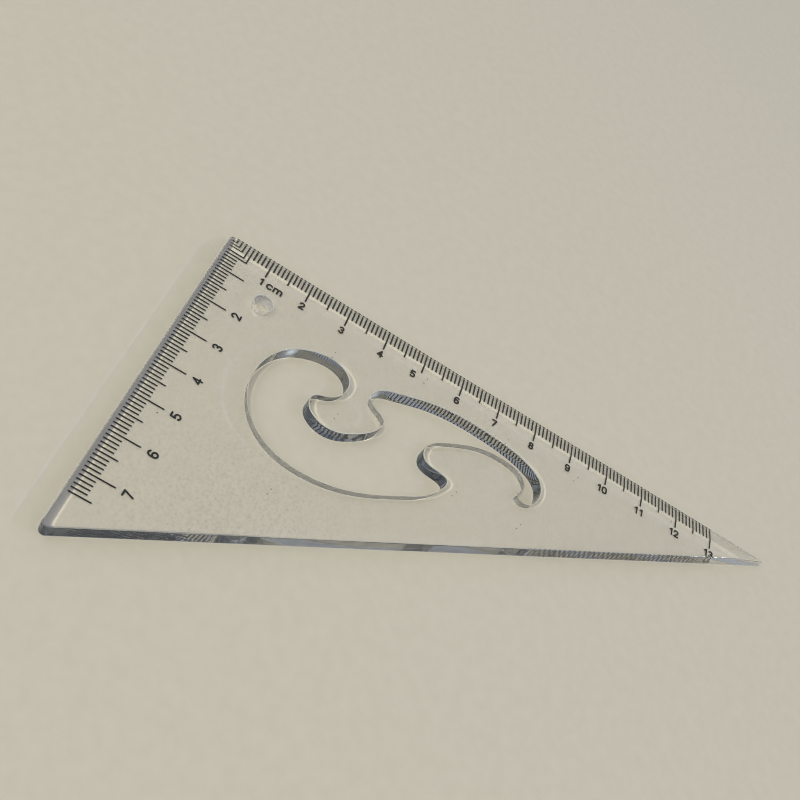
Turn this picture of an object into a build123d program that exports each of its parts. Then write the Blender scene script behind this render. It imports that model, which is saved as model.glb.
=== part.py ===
from build123d import *
import os
from math import atan2, cos, degrees, hypot, radians, sin, sqrt, tan

# Clear plastic 30/60/90 set square with a centimetre scale on both legs and a French-curve cut-out.
# Working axes: X along the short leg, Y along the long leg, both from the square corner; Z up from
# the printed underside. Everything is moved at the end, so that the origin is the bottom centre.

# The plate, in millimetres
SHORT_LEG = 84.9
LONG_LEG = SHORT_LEG * sqrt(3)
THICKNESS = 3.1
SQUARE_CORNER_R = 1.5
CORNER_60_R = 1.1
TIP_30_R = 0.4
TOP_EDGE_R = 0.2

# The bevel along the top of the long leg
BEVEL_WIDTH = 5.3
BEVEL_EDGE_HEIGHT = 1.8

# The hanging hole
HOLE_X = 14.2
HOLE_Y = 13.3
HOLE_R = 2.05

# The French-curve cut-out, a closed spline through its main points
CURVE = [
    (33.0, 18.5), (26.4, 19.7), (21.4, 23.1), (18.5, 28.3), (18.3, 33.6), (20.6, 36.5), (24.2, 36.7),
    (27.6, 34.0), (29.4, 31.0), (31.8, 30.9), (34.5, 33.7), (34.8, 38.2), (31.9, 43.2), (28.4, 46.3),
    (25.6, 46.8), (23.9, 44.6), (22.0, 42.4), (19.6, 42.8), (16.4, 47.8), (13.9, 55.0), (12.7, 63.0),
    (12.8, 71.0), (14.1, 79.0), (17.4, 84.2), (21.9, 84.7), (25.1, 81.7), (24.3, 79.9), (21.8, 80.9),
    (18.7, 79.8), (17.1, 75.6), (17.8, 68.7), (21.4, 61.4), (26.0, 57.0), (28.8, 57.6), (29.9, 60.4),
    (30.8, 63.8), (34.0, 62.9), (40.3, 56.0), (45.3, 47.2), (47.9, 37.2), (46.6, 27.7), (41.0, 21.0),
]

# The marks: ink in shallow grooves of the underside, flush with it
INK_DEPTH = 0.05
LONG_MARK_WIDTH = 0.36
SHORT_MARK_WIDTH = 0.3
ZERO_X = 0.1
ZERO_Y = 0.8
LAST_MM_LONG = 130
LAST_MM_SHORT = 75
CHEVRONS = 5
LONG_MM_END = 3.6
LONG_HALF_END = 4.3
LONG_CM_END = 5.7
SHORT_MM_END = 4.0
SHORT_HALF_END = 5.3
SHORT_CM_END = 7.4

# The numerals, whose tops face their own edge; two of them sit unevenly against their marks
LONG_NUMERAL_X = 7.35
LONG_NUMERAL_HEIGHT = 2.0
LONG_NUMERAL_PEN = 0.4
LONG_NUMERAL_LAG = -0.2
LONG_UNEVEN_LAGS = {5: -1.8, 10: -0.6}
LONG_DIGIT_PITCH = 1.4
SHORT_NUMERAL_Y = 9.85
SHORT_NUMERAL_HEIGHT = 2.25
SHORT_NUMERAL_PEN = 0.37
UNIT_X = 7.15
UNIT_Y = 13.85
UNIT_HEIGHT = 2.5
UNIT_LETTER_SHIFTS = {"c": -1.2, "m": 0.8}

# Each glyph in a cell one unit high, centred on the origin: ("line", x1, y1, x2, y2) or
# ("arc", centre x, centre y, radius, start angle, end angle)
GLYPHS = {
    "0": [("arc", 0, 0.17, 0.25, 0, 180), ("line", -0.25, 0.17, -0.25, -0.17),
          ("arc", 0, -0.17, 0.25, 180, 360), ("line", 0.25, -0.17, 0.25, 0.17)],
    "1": [("line", 0.08, -0.42, 0.08, 0.42), ("line", 0.08, 0.42, -0.14, 0.24)],
    "2": [("arc", 0, 0.18, 0.24, -45, 170), ("line", 0.17, 0.01, -0.25, -0.42),
          ("line", -0.25, -0.42, 0.26, -0.42)],
    "3": [("arc", 0, 0.21, 0.21, -90, 155), ("arc", 0, -0.205, 0.215, -155, 90)],
    "4": [("line", 0.1, -0.42, 0.1, 0.42), ("line", 0.1, 0.42, -0.27, -0.18),
          ("line", -0.27, -0.18, 0.27, -0.18)],
    "5": [("line", 0.22, 0.42, -0.17, 0.42), ("line", -0.17, 0.42, -0.2, 0.0),
          ("arc", 0, -0.17, 0.25, -150, 140)],
    "6": [("arc", 0.01, 0.17, 0.25, 35, 180), ("line", -0.24, 0.17, -0.24, -0.18),
          ("arc", 0, -0.18, 0.24, 0, 360)],
    "7": [("line", -0.25, 0.42, 0.25, 0.42), ("line", 0.25, 0.42, -0.08, -0.42)],
    "8": [("arc", 0, 0.215, 0.2, 0, 360), ("arc", 0, -0.2, 0.225, 0, 360)],
    "9": [("arc", -0.01, -0.17, 0.25, 215, 360), ("line", 0.24, -0.17, 0.24, 0.18),
          ("arc", 0, 0.18, 0.24, 0, 360)],
    "c": [("arc", 0, -0.17, 0.25, 45, 315)],
    "m": [("line", -0.36, -0.42, -0.36, 0.06), ("arc", -0.18, -0.1, 0.18, 0, 180),
          ("line", 0, -0.42, 0, -0.1), ("arc", 0.18, -0.1, 0.18, 0, 180),
          ("line", 0.36, -0.42, 0.36, -0.1)],
}


def tangent_length(radius, corner_angle):
    """How far from a corner its rounding starts."""
    return radius / tan(radians(corner_angle / 2))


def plate_outline():
    """The triangle with its three rounded corners."""
    square = tangent_length(SQUARE_CORNER_R, 90)
    at_60 = tangent_length(CORNER_60_R, 60)
    at_30 = tangent_length(TIP_30_R, 30)
    along_x = -0.5
    along_y = sqrt(3) / 2
    short_start = (square, 0)
    short_end = (SHORT_LEG - at_60, 0)
    hyp_start = (SHORT_LEG + at_60 * along_x, at_60 * along_y)
    hyp_end = (-at_30 * along_x, LONG_LEG - at_30 * along_y)
    long_start = (0, LONG_LEG - at_30)
    long_end = (0, square)
    edges = [
        Line(short_start, short_end),
        TangentArc(short_end, hyp_start, tangent=(1, 0)),
        Line(hyp_start, hyp_end),
        TangentArc(hyp_end, long_start, tangent=(along_x, along_y)),
        Line(long_start, long_end),
        TangentArc(long_end, short_start, tangent=(0, -1)),
    ]
    return make_face(edges)


def curve_outline():
    """The French curve's closed outline."""
    return make_face([Spline(*CURVE, periodic=True)])


def bevel_cutter():
    """The wedge taken off the top along the long leg."""
    slope = (THICKNESS - BEVEL_EDGE_HEIGHT) / BEVEL_WIDTH
    reach = 1.0
    low = (-reach, BEVEL_EDGE_HEIGHT - reach * slope)
    high = (BEVEL_WIDTH + reach, THICKNESS + reach * slope)
    section = Plane.XZ * make_face(Polyline(low, high, (-reach, high[1]), close=True))
    return Pos(0, -reach, 0) * extrude(section, amount=-(LONG_LEG + 2 * reach))


def blank():
    """The plate before its marks are grooved in."""
    body = extrude(plate_outline(), amount=THICKNESS)
    body -= extrude(curve_outline(), amount=THICKNESS)
    body -= Pos(HOLE_X, HOLE_Y, 0) * Cylinder(HOLE_R, THICKNESS, align=(Align.CENTER, Align.CENTER, Align.MIN))
    body = fillet(top_rim(body), TOP_EDGE_R)
    return body - bevel_cutter()


def top_rim(body):
    """The edges of the flat top face."""
    return body.faces().sort_by(Axis.Z)[-1].edges()


def bar(x1, y1, x2, y2):
    """An ink bar between two opposite corners."""
    size_x = abs(x2 - x1)
    size_y = abs(y2 - y1)
    low = (Align.MIN, Align.MIN, Align.MIN)
    return Pos(min(x1, x2), min(y1, y2), 0) * Box(size_x, size_y, INK_DEPTH, align=low)


def long_mark(millimetre, inner_end):
    """One mark of the long leg's scale."""
    middle = ZERO_Y + millimetre
    return bar(ZERO_X, middle - LONG_MARK_WIDTH / 2, inner_end, middle + LONG_MARK_WIDTH / 2)


def short_mark(millimetre, inner_end):
    """One mark of the short leg's scale."""
    middle = ZERO_X + millimetre
    return bar(middle - SHORT_MARK_WIDTH / 2, ZERO_Y, middle + SHORT_MARK_WIDTH / 2, inner_end)


def is_cm(millimetre):
    return millimetre % 10 == 0


def is_half(millimetre):
    return millimetre % 10 == 5


def is_mm(millimetre):
    return millimetre % 5 != 0


def scale(mark, last, belongs, inner_end):
    """All the marks of one kind on one leg, past the corner's chevrons."""
    return [mark(k, inner_end) for k in range(CHEVRONS + 1, last + 1) if belongs(k)]


def chevron(millimetre):
    """A corner mark shared by both scales: two bars that meet at the same reading."""
    outer = millimetre + SHORT_MARK_WIDTH / 2
    inner = millimetre - SHORT_MARK_WIDTH / 2
    across = bar(ZERO_X, ZERO_Y + inner, ZERO_X + outer, ZERO_Y + outer)
    along = bar(ZERO_X + inner, ZERO_Y, ZERO_X + outer, ZERO_Y + outer)
    return across + along


def line_stroke(x1, y1, x2, y2, pen):
    """A straight pen stroke with round ends."""
    length = hypot(x2 - x1, y2 - y1)
    turn = degrees(atan2(y2 - y1, x2 - x1))
    return Pos((x1 + x2) / 2, (y1 + y2) / 2) * (Rot(Z=turn) * SlotCenterToCenter(length, pen))


def arc_stroke(x, y, radius, start, end, pen):
    """A pen stroke along an arc, with round ends unless it closes."""
    ring = Circle(radius + pen / 2) - Circle(radius - pen / 2)
    if end - start >= 360:
        return Pos(x, y) * ring
    far = 3 * radius
    quarter = (end - start) / 4
    angles = [radians(start + quarter * k) for k in range(5)]
    corners = [(far * cos(a), far * sin(a)) for a in angles]
    stroke = ring & make_face(Polyline((0, 0), *corners, close=True))
    for angle in (start, end):
        stroke += Pos(radius * cos(radians(angle)), radius * sin(radians(angle))) * Circle(pen / 2)
    return Pos(x, y) * stroke


def glyph(character, height, pen):
    """One numeral or letter as a solid, upright on local X and Y."""
    face = Sketch()
    for kind, *numbers in GLYPHS[character]:
        if kind == "line":
            face += line_stroke(*[n * height for n in numbers], pen)
        else:
            centre_radius = [n * height for n in numbers[:3]]
            face += arc_stroke(*centre_radius, *numbers[3:], pen)
    return extrude(face, amount=INK_DEPTH)


def long_numerals():
    """1 to 13 along the long leg."""
    digits = []
    for centimetre in range(1, LAST_MM_LONG // 10 + 1):
        text = str(centimetre)
        lag = LONG_UNEVEN_LAGS.get(centimetre, LONG_NUMERAL_LAG)
        for place, character in enumerate(text):
            shift = lag + LONG_DIGIT_PITCH * (place - (len(text) - 1) / 2)
            where = Pos(LONG_NUMERAL_X, ZERO_Y + 10 * centimetre + shift, 0) * Rot(Z=90)
            digits.append(where * glyph(character, LONG_NUMERAL_HEIGHT, LONG_NUMERAL_PEN))
    return digits


def short_numerals():
    """2 to 7 along the short leg."""
    digits = []
    for centimetre in range(2, LAST_MM_SHORT // 10 + 1):
        where = Pos(ZERO_X + 10 * centimetre, SHORT_NUMERAL_Y, 0) * Rot(Z=180)
        digits.append(where * glyph(str(centimetre), SHORT_NUMERAL_HEIGHT, SHORT_NUMERAL_PEN))
    return digits


def unit_mark():
    """The letters cm after the long leg's first numeral."""
    letters = []
    for character, shift in UNIT_LETTER_SHIFTS.items():
        where = Pos(UNIT_X, UNIT_Y + shift, 0) * Rot(Z=90)
        letters.append(where * glyph(character, UNIT_HEIGHT, LONG_NUMERAL_PEN))
    return letters


def all_marks():
    """Every ink node, by name."""
    return {
        "long_scale_mm_marks": scale(long_mark, LAST_MM_LONG, is_mm, LONG_MM_END),
        "long_scale_half_cm_marks": scale(long_mark, LAST_MM_LONG, is_half, LONG_HALF_END),
        "long_scale_cm_marks": scale(long_mark, LAST_MM_LONG, is_cm, LONG_CM_END),
        "long_scale_numerals": long_numerals(),
        "short_scale_mm_marks": scale(short_mark, LAST_MM_SHORT, is_mm, SHORT_MM_END),
        "short_scale_half_cm_marks": scale(short_mark, LAST_MM_SHORT, is_half, SHORT_HALF_END),
        "short_scale_cm_marks": scale(short_mark, LAST_MM_SHORT, is_cm, SHORT_CM_END),
        "short_scale_numerals": short_numerals(),
        "corner_chevron_marks": [chevron(k) for k in range(1, CHEVRONS + 1)],
        "unit_mark": unit_mark(),
    }


def bottom_centre():
    """The centre of the plate's bounding box, which the rounded corners make a little smaller."""
    reach_x = SHORT_LEG - tangent_length(CORNER_60_R, 60) + CORNER_60_R
    reach_y = LONG_LEG - tangent_length(TIP_30_R, 30) + TIP_30_R
    return reach_x / 2, reach_y / 2


def main():
    os.makedirs("parts", exist_ok=True)
    marks = all_marks()
    solids = [s for group in marks.values() for shape in group for s in shape.solids()]
    plate = blank() - solids
    centre_x, centre_y = bottom_centre()
    home = Pos(-centre_x, -centre_y, 0)
    export_step(home * plate, "parts/plate.step")
    for name, group in marks.items():
        moved = [home * s for shape in group for s in shape.solids()]
        export_step(Compound(children=moved), f"parts/{name}.step")


main()
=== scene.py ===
import math

import bmesh
import bpy
import numpy as np
from mathutils import Matrix, Vector


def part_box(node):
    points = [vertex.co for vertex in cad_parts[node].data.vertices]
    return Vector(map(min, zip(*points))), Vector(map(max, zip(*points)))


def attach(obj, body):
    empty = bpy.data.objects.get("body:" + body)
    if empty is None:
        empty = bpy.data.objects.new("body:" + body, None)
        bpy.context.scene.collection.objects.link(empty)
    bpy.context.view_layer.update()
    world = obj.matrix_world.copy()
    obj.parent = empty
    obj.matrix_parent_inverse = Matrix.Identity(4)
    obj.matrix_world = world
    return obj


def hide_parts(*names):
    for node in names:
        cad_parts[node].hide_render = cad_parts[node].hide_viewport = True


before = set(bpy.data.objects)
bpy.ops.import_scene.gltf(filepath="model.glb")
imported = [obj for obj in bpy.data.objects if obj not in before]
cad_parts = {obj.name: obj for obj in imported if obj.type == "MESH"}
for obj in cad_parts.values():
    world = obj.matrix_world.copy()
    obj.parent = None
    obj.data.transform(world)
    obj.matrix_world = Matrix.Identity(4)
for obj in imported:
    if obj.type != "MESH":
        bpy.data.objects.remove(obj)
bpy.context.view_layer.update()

MM = 0.001

# ---------------------------------------------------------------- the plate's shape, in millimetres
# X runs along the short leg and Y along the long leg, both from the square corner. The frame's origin
# is under the middle of the plate, so the plate's box says where the square corner is.
PLATE_LOW, PLATE_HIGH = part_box("plate")
CORNER = Vector((PLATE_LOW.x, PLATE_LOW.y, 0.0))
THICKNESS = (PLATE_HIGH.z - PLATE_LOW.z) / MM
SHORT_LEG = 84.9
LONG_LEG = SHORT_LEG * math.sqrt(3)
HYPOTENUSE_NORMAL = (math.sqrt(3) / 2, 0.5)
SQUARE_CORNER_R = 1.5
CORNER_60_R = 1.1
TIP_30_R = 0.4
BEVEL_WIDTH = 5.3
BEVEL_EDGE_HEIGHT = 1.8
BEVEL_SLOPE = (THICKNESS - BEVEL_EDGE_HEIGHT) / BEVEL_WIDTH
HOLE = (14.2, 13.3)
HOLE_R = 2.05
# The French curve's points, in order around the opening
CURVE = [
    (33.0, 18.5), (26.4, 19.7), (21.4, 23.1), (18.5, 28.3), (18.3, 33.6), (20.6, 36.5), (24.2, 36.7),
    (27.6, 34.0), (29.4, 31.0), (31.8, 30.9), (34.5, 33.7), (34.8, 38.2), (31.9, 43.2), (28.4, 46.3),
    (25.6, 46.8), (23.9, 44.6), (22.0, 42.4), (19.6, 42.8), (16.4, 47.8), (13.9, 55.0), (12.7, 63.0),
    (12.8, 71.0), (14.1, 79.0), (17.4, 84.2), (21.9, 84.7), (25.1, 81.7), (24.3, 79.9), (21.8, 80.9),
    (18.7, 79.8), (17.1, 75.6), (17.8, 68.7), (21.4, 61.4), (26.0, 57.0), (28.8, 57.6), (29.9, 60.4),
    (30.8, 63.8), (34.0, 62.9), (40.3, 56.0), (45.3, 47.2), (47.9, 37.2), (46.6, 27.7), (41.0, 21.0),
]
TOP_ROUND = 0.3
BOTTOM_ROUND = 0.06
RIDGE_ROUND = 0.22
# The shell's underside lies a little above the marks' lower faces, so that the two never coincide.
UNDERSIDE = 0.01
# How finely the round stretches are cut; the corners' arcs are cut every so many degrees
CURVE_STEPS = 900
HOLE_STEPS = 96
ROUND_STEPS = 6
ARC_DEGREES = 5

# ---------------------------------------------------------------- the plate's surface
REFRACTIVE_INDEX = 1.49

# How upright the surface's normal is where each kind of surface begins, after the walls at 0
EDGE_FROM = 0.4
BEVEL_FROM = 0.96
RIDGE_FROM = 0.9725
FLAT_FROM = 0.9992

# Each grain below is its blotches to the millimetre, then its detail and its roughness where it has them.
# Fine wear: its middle, how far it reaches, how strong it is, how much of it is left beyond its reach
WORN_PATCH = (66.0, 28.0)
WORN_REACH = 34.0
WORN_STRENGTH = 4.5
WORN_REST = 0.2
WORN_GRAIN = (1.4, 4.0, 0.65)
WORN_TINTS = ((0.0, (0.86, 0.855, 0.84)), (0.5, (0.975, 0.975, 0.965)), (1.0, (1.0, 1.0, 1.0)))

# Haze on the walls and the rounded edges, which carries painted light: how much of it covers them, the
# factor for light that meets it from inside, its streaks and its colours. The colours are painted: a dark
# blue painted shade on the walls, a pale painted highlight on the rounded edges, pale painted light on
# the hole's wall and dark painted shades along the hypotenuse.
WALL_HAZE_AND_PAINTED_SHADE = 0.34
EDGE_HAZE_AND_PAINTED_HIGHLIGHT = 0.3
INSIDE_HAZE = 1.6
STREAK_GRAIN = (0.7, 2.0)
LEAST_STREAK = 0.5
HAZE_ROUGHNESS = 0.5
PAINTED_WALL_SHADE = (0.052, 0.078, 0.125)
# The rounded edges' pale colour is a painted highlight.
PAINTED_EDGE_HIGHLIGHT = (0.86, 0.84, 0.78)
PAINTED_HOLE_LIGHT = (0.88, 0.87, 0.90)
PAINTED_HYPOTENUSE_SHADE = (0.048, 0.078, 0.15)
PAINTED_NEAR_TIP_SHADE = (0.062, 0.072, 0.090)
# Where the haze and its painted light differ, within how many millimetres and by what factor: around the
# hole, where it paints the wall pale, around the tongue of plate that stands into the opening, where it
# paints shade over the wall, and along the long leg
HOLE_ZONE = 4.5
PAINTED_LIGHT_BY_HOLE = (HOLE_ZONE, 3.4)
TONGUE = (32.5, 37.5)
# Around the tongue the haze is thicker, a painted shade over its wall's reflections.
PAINTED_SHADE_BY_TONGUE = (9.0, 2.6)
CLEAR_BY_LONG_SIDE = (2.0, 0.1)
# The share of the haze that is left out where the hole's wall is seen from inside
HOLE_INSIDE_CUT = 0.92

# What lies closer than this to an outer side, in millimetres, belongs to the outer walls.
OUTER_ZONE = 1.5
# How far from the frame's origin that zone begins at the hypotenuse, square to it, in metres
CORNER_REACH = CORNER.x * HYPOTENUSE_NORMAL[0] + CORNER.y * HYPOTENUSE_NORMAL[1]
HYPOTENUSE_REACH = (LONG_LEG / 2 - OUTER_ZONE) * MM + CORNER_REACH

# Along the hypotenuse, as parts of WALL_LENGTH from the tip: how hazy the wall is, which paints it darker
# or lighter, where it is striped with painted reflections of the marks, and where its painted shade turns
# from one colour to the other
WALL_LENGTH = 150.0
WALL_LEVELS = ((0.0, 0.3), (0.14, 0.4), (0.48, 0.6), (0.56, 0.22), (0.86, 0.22), (0.91, 1.25))
STRIPED_STRETCH = ((0.13, 0.0), (0.18, 1.0), (0.44, 1.0), (0.50, 0.0))
WALL_COLOURS = ((0.40, PAINTED_NEAR_TIP_SHADE), (0.50, PAINTED_HYPOTENUSE_SHADE))
# The painted reflections' pitch in millimetres along the long leg, their slant, and the factor that they
# swing around
STRIPE_PITCH = 1.15
STRIPE_SLANT = 0.5
STRIPE_LEVEL = 0.9
STRIPE_SWING = 0.8

# Two glints on the opening's wall, brighter than white because they stand for a reflected window
GLINTS = ((21.2, 22.9, 2.2), (19.8, 43.2, 1.8))
GLINT_REACH = 2.6
GLINT_COLOUR = (1.6, 1.85, 2.1)

DUST_SPACING = 19.0
DUST_RADIUS = 0.13
DUST_COLOUR = (0.06, 0.05, 0.04)

# The share of the lamps' light that passes each surface; the rounded edges and the ridge gather light.
WALL_PASS = (0.0, 0.0, 0.0)
FACE_PASS = (0.94, 0.94, 0.93)
INNER_WALL_PASS = 0.72
EDGE_GAIN = (2.8, 2.85, 4.2)
RIDGE_GAIN = (2.7, 2.75, 4.0)

# ---------------------------------------------------------------- the ink and the floor
# Between these two values of the noise, a mottled colour goes from one shade to the other.
MOTTLE_FROM = 0.3
MOTTLE_TO = 0.7
INK_GRAIN = (2.5,)
# Black print whose shades carry painted light: the short scale's is darker, a painted shade, the long
# scale's browner, a painted warm reflection.
SHORT_SCALE_INK_WITH_PAINTED_SHADE = ((0.0, 0.0, 0.0), (0.005, 0.004, 0.003))
LONG_SCALE_INK_WITH_PAINTED_REFLECTION = ((0.020, 0.013, 0.003), (0.038, 0.028, 0.010))
INK_ROUGHNESS = 0.35
INK_ROUGHNESS_SPREAD = 0.4
FLOOR_GRAIN = (0.35, 4.0)
FLOOR_DARK = (0.710, 0.645, 0.563)
FLOOR_LIGHT = (0.738, 0.673, 0.591)
FLOOR_REACH = 3.0
FLOOR_DROP = 0.2 * MM

# ---------------------------------------------------------------- the camera
# The eye and what it looks at, in millimetres from the square corner, and the roll in degrees
EYE = (175.277, 9.913, 164.060)
TARGET = (14.914, 48.922, 0.0)
ROLL = 40.878
LENS = 48.434
SENSOR = 36.0
CLIP_START = 0.01

# ---------------------------------------------------------------- the lights
MAIN_LIGHT = (0.40, -0.44, 0.80)
# Each lamp: its direction, then its distance and size in metres, its watts and its colour
LAMPS = {
    "left_softbox": (MAIN_LIGHT, 1.6, (0.12, 0.12), 5.9, (1.0, 0.97, 0.50)),
    "right_softbox": ((-0.1, 0.80, 0.60), 1.0, (0.12, 0.06), 0.6, (0.80, 0.93, 1.0)),
}
# The room's colour over the height of the view, and the window's over the closeness to the main light
ROOM = ((0.0, (0.21, 0.235, 0.27)), (0.7, (0.365, 0.395, 0.45)), (1.0, (0.51, 0.53, 0.56)))
WINDOW = ((0.86, (0.0, 0.0, 0.0)), (0.97, (1.2, 1.2, 1.2)))
CLAMP_INDIRECT = 5.0
FILTER_WIDTH = 1.0
# Light is followed this far through the plate, between its walls.
BOUNCES = 96


# ================================================================ the plate's outlines
def spline_bends(knots, chords):
    """The second derivative at each knot of the closed cubic spline through knots."""
    count = len(knots)
    system = np.zeros((count, count))
    pull = np.zeros((count, 2))
    for i in range(count):
        following = (i + 1) % count
        before = chords[i - 1]
        after = chords[i]
        system[i, i - 1] += before
        system[i, i] += 2 * (before + after)
        system[i, following] += after
        pull[i] = 6 * ((knots[following] - knots[i]) / after - (knots[i] - knots[i - 1]) / before)
    return np.linalg.solve(system, pull)


def periodic_spline(points, count):
    """Points and unit tangents at even steps along a closed cubic spline through points."""
    knots = np.array(points, float)
    chords = np.linalg.norm(np.roll(knots, -1, axis=0) - knots, axis=1)
    bends = spline_bends(knots, chords)
    distances = np.concatenate([[0], np.cumsum(chords)])
    places = np.linspace(0, distances[-1], count, endpoint=False)
    starts = np.searchsorted(distances, places, side="right") - 1
    ends = (starts + 1) % len(knots)
    length = chords[starts][:, None]
    past = (places - distances[starts])[:, None]
    change = bends[ends] - bends[starts]
    slope = (knots[ends] - knots[starts]) / length - length * (2 * bends[starts] + bends[ends]) / 6
    xy = knots[starts] + past * slope + past ** 2 * bends[starts] / 2 + past ** 3 * change / (6 * length)
    tangent = slope + past * bends[starts] + past ** 2 * change / (2 * length)
    return xy, tangent / np.linalg.norm(tangent, axis=1)[:, None]


def ridge_share(x):
    """How far across the rounded ridge X lies, from 0 on the bevel to 1 on the flat."""
    return np.clip((x - BEVEL_WIDTH + RIDGE_ROUND) / (2 * RIDGE_ROUND), 0, 1)


def top_height(x):
    """Height of the top over X: the bevel, a ridge where the slope falls evenly to zero, the flat."""
    past = x - BEVEL_WIDTH
    lowered = BEVEL_SLOPE * (past - RIDGE_ROUND * ridge_share(x) ** 2)
    return THICKNESS + np.where(past < RIDGE_ROUND, lowered, 0.0)


def top_normal(x):
    """Unit normals of the top over X."""
    fall = BEVEL_SLOPE * (1 - ridge_share(x))
    normals = np.stack([-fall, np.zeros_like(fall), np.ones_like(fall)], axis=1)
    return normals / np.linalg.norm(normals, axis=1)[:, None]


def corner_arc(corner, radius, angle, start):
    """A rounded corner of angle degrees: points and outward normals, the first at start degrees."""
    turn = 180 - angle
    half = math.radians(angle / 2)
    middle = math.radians(start + turn / 2)
    centre = np.array(corner) - radius / math.sin(half) * np.array([math.cos(middle), math.sin(middle)])
    steps = round(turn / ARC_DEGREES)
    turned = np.radians(start + turn * np.arange(steps + 1) / steps)
    normals = np.stack([np.cos(turned), np.sin(turned)], axis=1)
    return centre + radius * normals, normals


def straight(places, normal):
    """Points on a straight side, with the side's normal at each."""
    return np.array(places, float), np.tile(np.array(normal, float), (len(places), 1))


def outer_stretches():
    """The rounded triangle, counter-clockwise from the square corner: stretches of points and normals.

    The two straight stretches hold the points where the ridge ends, so that the top can be split there.
    """
    lines = np.linspace(BEVEL_WIDTH - RIDGE_ROUND, BEVEL_WIDTH + RIDGE_ROUND, 2 * ROUND_STEPS + 1)
    reach = lines[::-1] + TOP_ROUND * HYPOTENUSE_NORMAL[0]
    short_side = [(x, 0) for x in lines]
    hypotenuse = [(x, LONG_LEG * (1 - x / SHORT_LEG)) for x in reach]
    return [
        corner_arc((0, 0), SQUARE_CORNER_R, 90, 180),
        straight(short_side, (0, -1)),
        corner_arc((SHORT_LEG, 0), CORNER_60_R, 60, -90),
        straight(hypotenuse, HYPOTENUSE_NORMAL),
        corner_arc((0, LONG_LEG), TIP_30_R, 30, 30),
    ]


def curve_outline():
    """The French curve, with normals that point into the opening."""
    xy, tangent = periodic_spline(CURVE, CURVE_STEPS)
    turned = np.stack([-tangent[:, 1], tangent[:, 0]], axis=1)
    area = np.sum(xy[:, 0] * np.roll(xy[:, 1], -1) - xy[:, 1] * np.roll(xy[:, 0], -1))
    return xy, turned * math.copysign(1, area)


def hole_outline():
    """The hanging hole, with normals that point into it."""
    angles = np.linspace(0, 2 * math.pi, HOLE_STEPS, endpoint=False)
    around = np.stack([np.cos(angles), np.sin(angles)], axis=1)
    return np.array(HOLE) + HOLE_R * around, -around


# ================================================================ the plate's mesh
class Shell:
    """Collects vertices with their normals, in millimetres from the square corner."""

    def __init__(self):
        self.bm = bmesh.new()
        self.normals = []

    def ring(self, xy, z, normals):
        verts = [self.bm.verts.new((x, y, height)) for (x, y), height in zip(xy, z)]
        self.normals.extend(normals)
        return verts

    def bridge(self, lower, upper):
        for i in range(len(lower)):
            j = (i + 1) % len(lower)
            self.bm.faces.new((lower[i], lower[j], upper[j], upper[i]))

    def wall(self, xy, outward):
        """A closed wall from the underside to the top with both edges rounded; returns its end rings."""
        flat = np.concatenate([outward, np.zeros((len(xy), 1))], axis=1)
        turns = [math.pi / 2 * step / ROUND_STEPS for step in range(ROUND_STEPS + 1)]
        rings = []
        for turn in turns:
            place = xy - outward * BOTTOM_ROUND * (1 - math.sin(turn))
            z = np.full(len(xy), UNDERSIDE + BOTTOM_ROUND * (1 - math.cos(turn)))
            normals = flat * math.sin(turn) - np.array([0, 0, math.cos(turn)])
            rings.append(self.ring(place, z, normals))
        for turn in turns:
            place = xy - outward * TOP_ROUND * (1 - math.cos(turn))
            z = top_height(place[:, 0]) - TOP_ROUND * (1 - math.sin(turn))
            normals = flat * math.cos(turn) + top_normal(place[:, 0]) * math.sin(turn)
            rings.append(self.ring(place, z, normals))
        for lower, upper in zip(rings, rings[1:]):
            self.bridge(lower, upper)
        return rings[0], rings[-1]

    def fill(self, *loops):
        """Triangles between an outer loop and the loops inside it."""
        edges = []
        for loop in loops:
            for pair in zip(loop, loop[1:] + loop[:1]):
                edges.append(self.bm.edges.get(pair) or self.bm.edges.new(pair))
        bmesh.ops.triangle_fill(self.bm, edges=edges, use_beauty=True, use_dissolve=False)

    def mesh(self, name):
        """The finished mesh in metres, in the shared frame, with its normals set one by one."""
        bmesh.ops.recalc_face_normals(self.bm, faces=self.bm.faces)
        for vert in self.bm.verts:
            vert.co = vert.co * MM + CORNER
        mesh = bpy.data.meshes.new(name)
        self.bm.to_mesh(mesh)
        self.bm.free()
        mesh.shade_smooth()
        normals = np.array(self.normals, float)
        normals /= np.linalg.norm(normals, axis=1)[:, None]
        mesh.normals_split_custom_set_from_vertices([tuple(normal) for normal in normals])
        return mesh


def plate_mesh():
    """The plate as one closed shell."""
    shell = Shell()
    stretches = outer_stretches()
    low, high = shell.wall(*[np.concatenate(parts) for parts in zip(*stretches)])
    low_curve, high_curve = shell.wall(*curve_outline())
    low_hole, high_hole = shell.wall(*hole_outline())
    shell.fill(low, low_curve, low_hole)

    # The top's rim in the outline's stretches; the bevel, the ridge's strips and the flat join them.
    rim = []
    for points, normals in stretches:
        rim.append(high[:len(points)])
        high = high[len(points):]
    square_corner, near, corner_60, hypotenuse, tip = rim
    far = hypotenuse[::-1]
    for i in range(len(near) - 1):
        shell.bm.faces.new((near[i], near[i + 1], far[i + 1], far[i]))
    shell.fill([far[0]] + tip + square_corner + [near[0]])
    shell.fill([near[-1]] + corner_60 + [far[-1]], high_curve, high_hole)
    return shell.mesh("clear_plate")


# ================================================================ short ways to add nodes
# Where a Mix node keeps its colours
MIX_FIRST = 6
MIX_SECOND = 7
MIX_RESULT = 2


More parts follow.
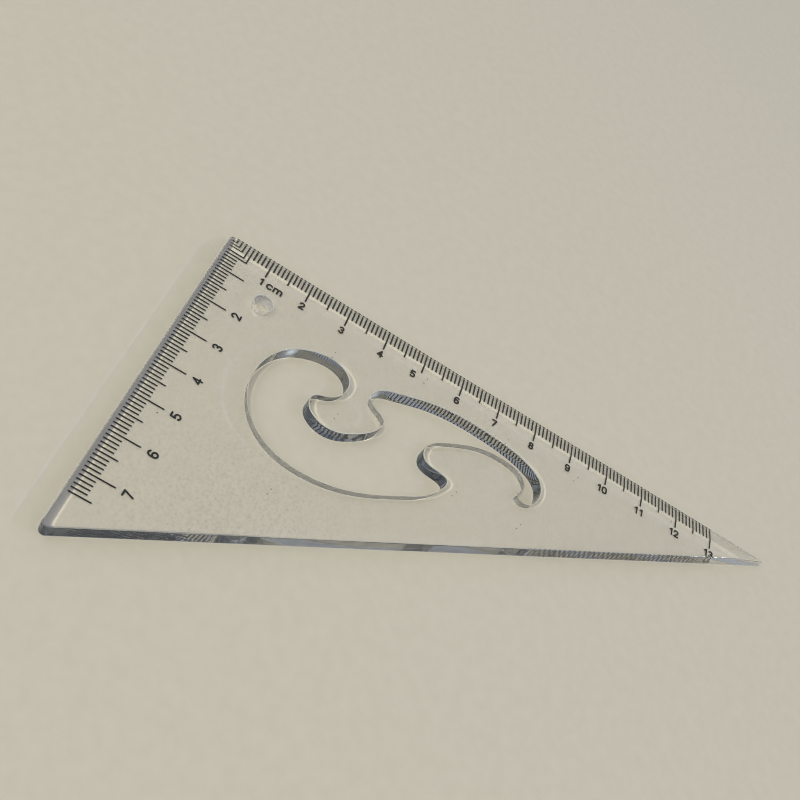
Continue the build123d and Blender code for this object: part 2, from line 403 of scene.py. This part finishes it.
class Graph:
    """The nodes of a material or a world. Values are sockets, numbers, vectors or colours."""

    def __init__(self, owner):
        owner.use_nodes = True
        self.nodes = owner.node_tree.nodes
        self.links = owner.node_tree.links
        self.nodes.clear()

    def feed(self, socket, value):
        if isinstance(value, bpy.types.NodeSocket):
            self.links.new(value, socket)
        elif socket.type == "RGBA":
            socket.default_value = (*value, 1)
        else:
            socket.default_value = value

    def add(self, kind, inputs=None):
        node = self.nodes.new(kind)
        for name, value in (inputs or {}).items():
            self.feed(node.inputs[name], value)
        return node

    def place(self):
        """The point of the surface, in the shared frame."""
        return self.add("ShaderNodeTexCoord").outputs["Object"]

    def split(self, vector):
        """The X, Y and Z of a vector."""
        return self.add("ShaderNodeSeparateXYZ", {0: vector}).outputs

    def math(self, operation, *values):
        node = self.nodes.new("ShaderNodeMath")
        node.operation = operation
        for socket, value in zip(node.inputs, values):
            self.feed(socket, value)
        return node.outputs[0]

    def product(self, first, *others):
        for value in others:
            first = self.math("MULTIPLY", first, value)
        return first

    def vector_math(self, operation, first, second, output="Vector"):
        node = self.nodes.new("ShaderNodeVectorMath")
        node.operation = operation
        self.feed(node.inputs[0], first)
        self.feed(node.inputs[1], second)
        return node.outputs[output]

    def ramp(self, interpolation, factor, *stops):
        """A colour ramp through (position, colour) stops; a plain number is a grey."""
        node = self.nodes.new("ShaderNodeValToRGB")
        node.color_ramp.interpolation = interpolation
        elements = node.color_ramp.elements
        while len(elements) < len(stops):
            elements.new(0.5)
        for element, (position, colour) in zip(elements, stops):
            element.position = position
            element.color = (*colour, 1) if isinstance(colour, tuple) else (colour, colour, colour, 1)
        self.feed(node.inputs[0], factor)
        return node.outputs[0]

    def noise(self, place, per_mm, detail=3.0, roughness=0.5):
        """Noise with about per_mm blotches to the millimetre."""
        inputs = {"Vector": place, "Scale": per_mm / MM, "Detail": detail, "Roughness": roughness}
        return self.add("ShaderNodeTexNoise", inputs).outputs[0]

    def mix(self, factor, first, second):
        """A colour that goes from first to second as factor goes from 0 to 1."""
        node = self.nodes.new("ShaderNodeMix")
        node.data_type = "RGBA"
        self.feed(node.inputs["Factor"], factor)
        self.feed(node.inputs[MIX_FIRST], first)
        self.feed(node.inputs[MIX_SECOND], second)
        return node.outputs[MIX_RESULT]

    def shader(self, kind, inputs):
        return self.add(kind, inputs).outputs[0]

    def mix_shader(self, factor, first, second):
        return self.shader("ShaderNodeMixShader", {0: factor, 1: first, 2: second})


# ================================================================ the clear plastic
class PlateSurface(Graph):
    """The plate's nodes, with what its material asks of a point: where it lies and how it faces."""

    def __init__(self, material):
        super().__init__(material)
        self.point = self.place()
        geometry = self.add("ShaderNodeNewGeometry")
        self.from_inside = geometry.outputs["Backfacing"]
        self.upright = self.math("ABSOLUTE", self.split(geometry.outputs["Normal"])["Z"])
        self.xyz = self.split(self.point)
        self.from_long_side = self.math("SUBTRACT", self.xyz["X"], CORNER.x)
        self.from_short_side = self.math("SUBTRACT", self.xyz["Y"], CORNER.y)
        self.from_tip = self.math("DIVIDE", self.distance(0, LONG_LEG), WALL_LENGTH)
        reach = self.vector_math("DOT_PRODUCT", self.point, (*HYPOTENUSE_NORMAL, 0), "Value")
        self.off_hypotenuse = self.math("LESS_THAN", reach, HYPOTENUSE_REACH)
        self.from_hole = self.distance(*HOLE)
        self.at_hole = self.math("LESS_THAN", self.from_hole, HOLE_ZONE)
        self.on_wall = self.math("LESS_THAN", self.upright, EDGE_FROM)

    def distance(self, x, y, z=0.0):
        """Distance in millimetres from a point of the plate."""
        spot = CORNER + Vector((x, y, z)) * MM
        return self.math("DIVIDE", self.vector_math("DISTANCE", self.point, spot, "Value"), MM)

    def fade(self, distance, reach, level):
        """A factor that goes evenly from level to 1 as the distance grows to reach."""
        return self.ramp("LINEAR", self.math("DIVIDE", distance, reach), (0.0, level), (1.0, 1))

    def wear_tint(self):
        """A finely worn patch near the 60 degree corner scatters a little of what shows through."""
        away = self.math("DIVIDE", self.distance(*WORN_PATCH), WORN_REACH)
        worn = self.ramp("EASE", away, (0.0, 1), (1.0, WORN_REST))
        grain = self.math("SUBTRACT", self.noise(self.point, *WORN_GRAIN), 0.5)
        blotch = self.math("ADD", self.product(grain, worn, WORN_STRENGTH), 0.5)
        return self.ramp("LINEAR", blotch, *WORN_TINTS)

    def painted_hypotenuse_shade(self):
        """A factor for the haze's painted shade that varies along the hypotenuse's wall, with painted
        reflections of the marks in one stretch, and is 1 elsewhere.
        """
        levels = self.ramp("LINEAR", self.from_tip, *WALL_LEVELS)
        stretch = self.ramp("LINEAR", self.from_tip, *STRIPED_STRETCH)
        slanted = self.math("MULTIPLY_ADD", self.xyz["Z"], STRIPE_SLANT, self.xyz["Y"])
        wave = self.math("SINE", self.product(slanted, math.tau / (STRIPE_PITCH * MM)))
        painted_tick_reflections = self.math("MULTIPLY_ADD", wave, STRIPE_SWING, STRIPE_LEVEL)
        level = self.math("ADD", self.product(painted_tick_reflections, stretch), levels)
        on_hypotenuse = self.math("SUBTRACT", 1.0, self.off_hypotenuse)
        return self.math("ADD", self.off_hypotenuse, self.product(level, on_hypotenuse))

    def haze_and_painted_light_amount(self):
        """Haze on the walls and the rounded edges, which carries their painted shade and painted
        highlights, more of it for light that meets them from inside.
        """
        stops = ((0.0, WALL_HAZE_AND_PAINTED_SHADE), (EDGE_FROM, EDGE_HAZE_AND_PAINTED_HIGHLIGHT), (BEVEL_FROM, 0))
        surface = self.ramp("CONSTANT", self.upright, *stops)
        streaks = self.math("ADD", self.noise(self.point, *STREAK_GRAIN), LEAST_STREAK)
        inside = self.math("MULTIPLY_ADD", self.from_inside, INSIDE_HAZE - 1, 1.0)
        cut = self.product(self.at_hole, self.from_inside, HOLE_INSIDE_CUT)
        by_hole = self.fade(self.from_hole, *PAINTED_LIGHT_BY_HOLE)
        by_tongue = self.fade(self.distance(*TONGUE), *PAINTED_SHADE_BY_TONGUE)
        by_long_side = self.fade(self.math("DIVIDE", self.from_long_side, MM), *CLEAR_BY_LONG_SIDE)
        local = self.product(by_hole, by_tongue, by_long_side, self.painted_hypotenuse_shade())
        return self.product(streaks, inside, self.math("SUBTRACT", 1.0, cut), local, surface)

    def painted_light_colour(self):
        """The haze's painted light: a dark painted shade on walls, a pale painted highlight on rounded
        edges and pale painted light by the hole; the hypotenuse has its own painted shades.
        """
        colour = self.ramp("CONSTANT", self.upright, (0.0, PAINTED_WALL_SHADE), (EDGE_FROM, PAINTED_EDGE_HIGHLIGHT))
        colour = self.mix(self.at_hole, colour, PAINTED_HOLE_LIGHT)
        hypotenuse = self.ramp("LINEAR", self.from_tip, *WALL_COLOURS)
        return self.mix(self.off_hypotenuse, hypotenuse, colour)

    def glints(self):
        """How much each point of a wall belongs to a glint."""
        dull = self.product(*[self.fade(self.distance(*spot), GLINT_REACH, 0) for spot in GLINTS])
        return self.product(self.on_wall, self.math("SUBTRACT", 1.0, dull))

    def dust(self):
        """Where a few specks of dust lie."""
        cells = self.add("ShaderNodeTexVoronoi")
        cells.voronoi_dimensions = "2D"
        self.feed(cells.inputs["Scale"], 1 / (DUST_SPACING * MM))
        self.feed(cells.inputs["Vector"], self.point)
        return self.math("LESS_THAN", cells.outputs["Distance"], DUST_RADIUS / DUST_SPACING)

    def passed_light(self):
        """How the lamps' light passes each surface.

        It passes the faces and most of it passes the inner walls. The outer walls stop it, and it gathers
        at the rounded edges and the ridge. Around the hole all surfaces pass it as the faces do.
        """
        passed = self.ramp("CONSTANT", self.upright, (0.0, WALL_PASS), (EDGE_FROM, EDGE_GAIN),
                           (BEVEL_FROM, FACE_PASS), (RIDGE_FROM, RIDGE_GAIN), (FLAT_FROM, FACE_PASS))
        inner = self.product(self.off_hypotenuse, self.on_wall)
        for distance in (self.from_long_side, self.from_short_side):
            inner = self.product(inner, self.math("GREATER_THAN", distance, OUTER_ZONE * MM))
        passed = self.vector_math("ADD", passed, self.product(inner, INNER_WALL_PASS))
        return self.mix(self.at_hole, passed, FACE_PASS)


def clear_plastic():
    """Clear moulded plastic: polished faces with light wear and dust, and slightly hazed walls whose haze
    carries painted shade, painted highlights and the painted glints.
    """
    material = bpy.data.materials.new("clear_plastic")
    surface = PlateSurface(material)
    polished = surface.shader("ShaderNodeBsdfPrincipled", {
        "Base Color": surface.wear_tint(),
        "Roughness": 0.0,
        "IOR": REFRACTIVE_INDEX,
        "Transmission Weight": 1.0,
    })
    glints = surface.glints()
    # The haze paints shade on the walls, highlights on the rounded edges, light on the hole's wall and two
    # glints.
    haze = surface.shader("ShaderNodeBsdfPrincipled", {
        "Base Color": surface.mix(glints, surface.painted_light_colour(), GLINT_COLOUR),
        "Roughness": HAZE_ROUGHNESS,
    })
    hazed = surface.mix_shader(surface.math("MAXIMUM", surface.haze_and_painted_light_amount(), glints), polished, haze)
    dust = surface.shader("ShaderNodeBsdfDiffuse", {"Color": DUST_COLOUR})
    seen = surface.mix_shader(surface.dust(), hazed, dust)
    # The lamps' light crosses the plate straight; all that the camera sees is refracted.
    crossed = surface.shader("ShaderNodeBsdfTransparent", {"Color": surface.passed_light()})
    to_lamp = surface.add("ShaderNodeLightPath").outputs["Is Shadow Ray"]
    surface.add("ShaderNodeOutputMaterial", {"Surface": surface.mix_shader(to_lamp, seen, crossed)})
    return material


# ================================================================ the other materials
def black_ink(name, deep, thin):
    """Printed ink, a little uneven in depth and gloss."""
    material = bpy.data.materials.new(name)
    graph = Graph(material)
    patches = graph.noise(graph.place(), *INK_GRAIN)
    ink = graph.shader("ShaderNodeBsdfPrincipled", {
        "Base Color": graph.ramp("LINEAR", patches, (MOTTLE_FROM, deep), (MOTTLE_TO, thin)),
        "Roughness": graph.math("MULTIPLY_ADD", patches, INK_ROUGHNESS_SPREAD, INK_ROUGHNESS),
    })
    graph.add("ShaderNodeOutputMaterial", {"Surface": ink})
    return material


def floor_material():
    """A pale matt table, very slightly mottled."""
    material = bpy.data.materials.new("pale_floor")
    graph = Graph(material)
    mottle = graph.noise(graph.place(), *FLOOR_GRAIN)
    shade = graph.ramp("LINEAR", mottle, (MOTTLE_FROM, FLOOR_DARK), (MOTTLE_TO, FLOOR_LIGHT))
    floor = graph.shader("ShaderNodeBsdfDiffuse", {"Color": shade})
    graph.add("ShaderNodeOutputMaterial", {"Surface": floor})
    return material


# ================================================================ the object
def add_plate():
    """The clear plate, which stands for the CAD plate."""
    plate = bpy.data.objects.new("clear_plate", plate_mesh())
    bpy.context.scene.collection.objects.link(plate)
    plate.data.materials.append(clear_plastic())
    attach(plate, "root")
    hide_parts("plate")


def ink_marks():
    """Black print for all marks; the short scale's ink is darker, a painted shade, and the other marks'
    ink browner, a painted warm reflection.
    """
    short_ink_painted_shade = black_ink("short_scale_ink_painted_shade", *SHORT_SCALE_INK_WITH_PAINTED_SHADE)
    long_ink_painted_reflection = black_ink("long_scale_ink_painted_reflection", *LONG_SCALE_INK_WITH_PAINTED_REFLECTION)
    for name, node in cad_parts.items():
        if name != "plate":
            node.data.materials.clear()
            node.data.materials.append(short_ink_painted_shade if name.startswith("short") else long_ink_painted_reflection)


# ================================================================ the stage
def add_floor():
    """A square floor just under the plate."""
    corners = [(-1, -1), (1, -1), (1, 1), (-1, 1)]
    verts = [(x * FLOOR_REACH, y * FLOOR_REACH, -FLOOR_DROP) for x, y in corners]
    mesh = bpy.data.meshes.new("floor")
    mesh.from_pydata(verts, [], [(0, 1, 2, 3)])
    floor = bpy.data.objects.new("floor", mesh)
    floor.data.materials.append(floor_material())
    bpy.context.scene.collection.objects.link(floor)


def add_lamp(name, direction, distance, size, watts, colour):
    """A rectangular lamp that faces the frame's origin and isn't seen through the plate."""
    light = bpy.data.lights.new(name, "AREA")
    light.shape = "RECTANGLE"
    light.size, light.size_y = size
    light.energy = watts
    light.color = colour
    lamp = bpy.data.objects.new(name, light)
    way = Vector(direction).normalized()
    lamp.location = way * distance
    lamp.rotation_mode = "QUATERNION"
    lamp.rotation_quaternion = way.to_track_quat("Z", "Y")
    lamp.visible_transmission = False
    bpy.context.scene.collection.objects.link(lamp)


def add_world():
    """A dim blue-grey room that is lighter overhead, and a broad window towards the main lamp."""
    world = bpy.data.worlds.new("studio")
    bpy.context.scene.world = world
    graph = Graph(world)
    world.cycles.sampling_method = "NONE"
    way = graph.add("ShaderNodeTexCoord").outputs["Generated"]
    room = graph.ramp("LINEAR", graph.split(way)["Z"], *ROOM)
    closeness = graph.vector_math("DOT_PRODUCT", way, Vector(MAIN_LIGHT).normalized(), "Value")
    window = graph.ramp("EASE", closeness, *WINDOW)
    sky = graph.shader("ShaderNodeBackground", {"Color": graph.vector_math("ADD", room, window)})
    graph.add("ShaderNodeOutputWorld", {"Surface": sky})


def add_camera():
    """The camera, placed from the square corner."""
    data = bpy.data.cameras.new("camera")
    data.lens = LENS
    data.sensor_width = SENSOR
    data.clip_start = CLIP_START
    camera = bpy.data.objects.new("camera", data)
    turn = (Vector(TARGET) - Vector(EYE)).to_track_quat("-Z", "Y").to_matrix().to_4x4()
    roll = Matrix.Rotation(math.radians(ROLL), 4, "Z")
    camera.matrix_world = Matrix.Translation(Vector(EYE) * MM + CORNER) @ turn @ roll
    bpy.context.scene.collection.objects.link(camera)
    bpy.context.scene.camera = camera


def set_look():
    """Plain colours, and light that can cross the plate many times."""
    scene = bpy.context.scene
    scene.view_settings.view_transform = "Standard"
    scene.cycles.sample_clamp_indirect = CLAMP_INDIRECT
    scene.cycles.blur_glossy = 0.0
    scene.cycles.filter_width = FILTER_WIDTH
    scene.cycles.max_bounces = BOUNCES
    scene.cycles.glossy_bounces = BOUNCES
    scene.cycles.transmission_bounces = BOUNCES


add_plate()
ink_marks()
add_floor()
for name, lamp in LAMPS.items():
    add_lamp(name, *lamp)
add_world()
add_camera()
set_look()
